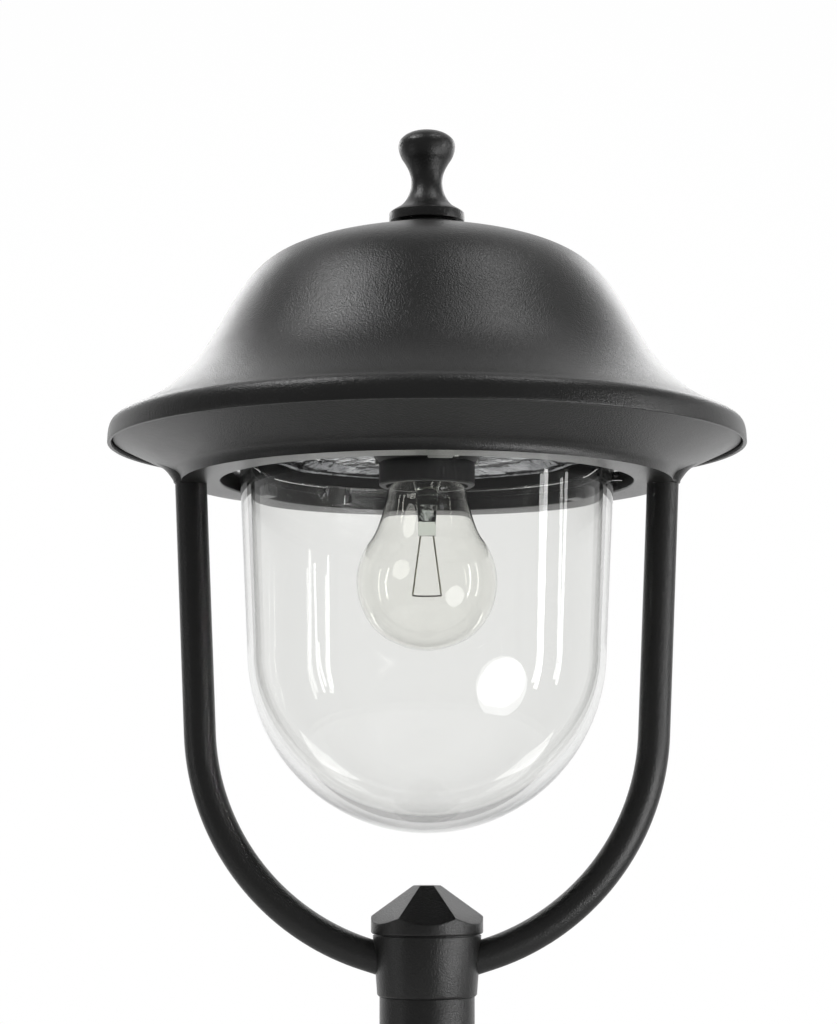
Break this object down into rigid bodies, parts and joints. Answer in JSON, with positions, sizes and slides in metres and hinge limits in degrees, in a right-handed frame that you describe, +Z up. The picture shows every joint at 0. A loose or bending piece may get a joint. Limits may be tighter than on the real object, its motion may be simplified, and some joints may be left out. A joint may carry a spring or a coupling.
{
  "type": "post top lantern",
  "caption": "Post top garden lantern: domed metal roof with finial on a cast ring, clear bell bowl round a lamp, bent tube arms meeting in a hub over a post sleeve.",
  "frame": {"origin": "centre of the post sleeve's mouth, where the post enters from below", "axes": "+Z up along the post and the lamp's axis, X along the two arms, -Y towards the front seen in the picture"},
  "size_m": [0.2746, 0.2746, 0.4487],
  "materials": {
    "black_coat": "satin, fine-textured black powder coat",
    "zinc_steel": "zinc-plated steel",
    "bright_aluminium": "bright, slightly crumpled reflector sheet",
    "black_rubber": "matt black sealing rubber",
    "clear_bowl": "clear, glossy, moulded",
    "lamp_glass": "clear blown glass",
    "dark_glass": "dark vitrified insulator",
    "lamp_metal": "nickel-coloured, thin pressed sheet",
    "lamp_brass": "plain pressed brass",
    "tungsten": "dull grey drawn wire",
    "black_plastic": "satin moulded black",
    "pale_plastic": "off-white moulded",
    "wire_sleeve": "pale silicone wire sleeve",
    "earth_sleeve": "green and yellow wire sleeve with a plated tag"
  },
  "bodies": {
    "post_and_ring": {"post_sleeve": "black_coat", "post_grub_screws": "zinc_steel", "hub_set_screws": "zinc_steel", "hub": "black_coat", "arm_grub_screws": "zinc_steel", "hub_cap": "black_coat", "right_arm": "black_coat", "left_arm": "black_coat", "carrier_ring": "black_coat", "reflector_plate": "bright_aluminium", "plate_screws": "zinc_steel", "bowl_gasket": "black_rubber", "roof_seal": "black_rubber", "roof_bridge": "zinc_steel", "bridge_screws": "zinc_steel", "earth_screw": "zinc_steel", "roof_stud": "zinc_steel", "stud_nuts": "zinc_steel", "lampholder_body": "black_plastic", "lampholder_shell": "lamp_brass", "lampholder_contact": "lamp_brass", "lampholder_screws": "zinc_steel", "terminal_block": "pale_plastic", "terminal_screws": "zinc_steel", "lampholder_leads": "wire_sleeve", "earth_lead": "earth_sleeve"},
    "roof": {"roof_shell": "black_coat", "finial_washer": "black_rubber"},
    "finial": {"finial": "black_coat"},
    "bowl": {"bowl": "clear_bowl"},
    "lamp": {"lamp_glass": "lamp_glass", "lamp_cap": "lamp_metal", "lamp_insulator": "dark_glass", "lamp_contact": "lamp_metal", "lamp_stem": "lamp_glass", "lamp_leads": "lamp_metal", "lamp_filament": "tungsten"}
  },
  "joints": [
    {"name": "roof_lift", "type": "slide", "parent": "post_and_ring", "child": "roof", "axis": [0, 0, 1], "range_m": [0, 0.15]},
    {"name": "finial_turn", "type": "hinge", "parent": "roof", "child": "finial", "pos_m": [0, 0, 0.42], "axis": [0, 0, 1], "continuous": true},
    {"name": "bowl_turn", "type": "hinge", "parent": "post_and_ring", "child": "bowl", "pos_m": [0, 0, 0.299], "axis": [0, 0, 1], "range_deg": [0, 31.5]},
    {"name": "lamp_turn", "type": "hinge", "parent": "post_and_ring", "child": "lamp", "pos_m": [0, 0, 0.31], "axis": [0, 0, 1], "continuous": true}
  ]
}
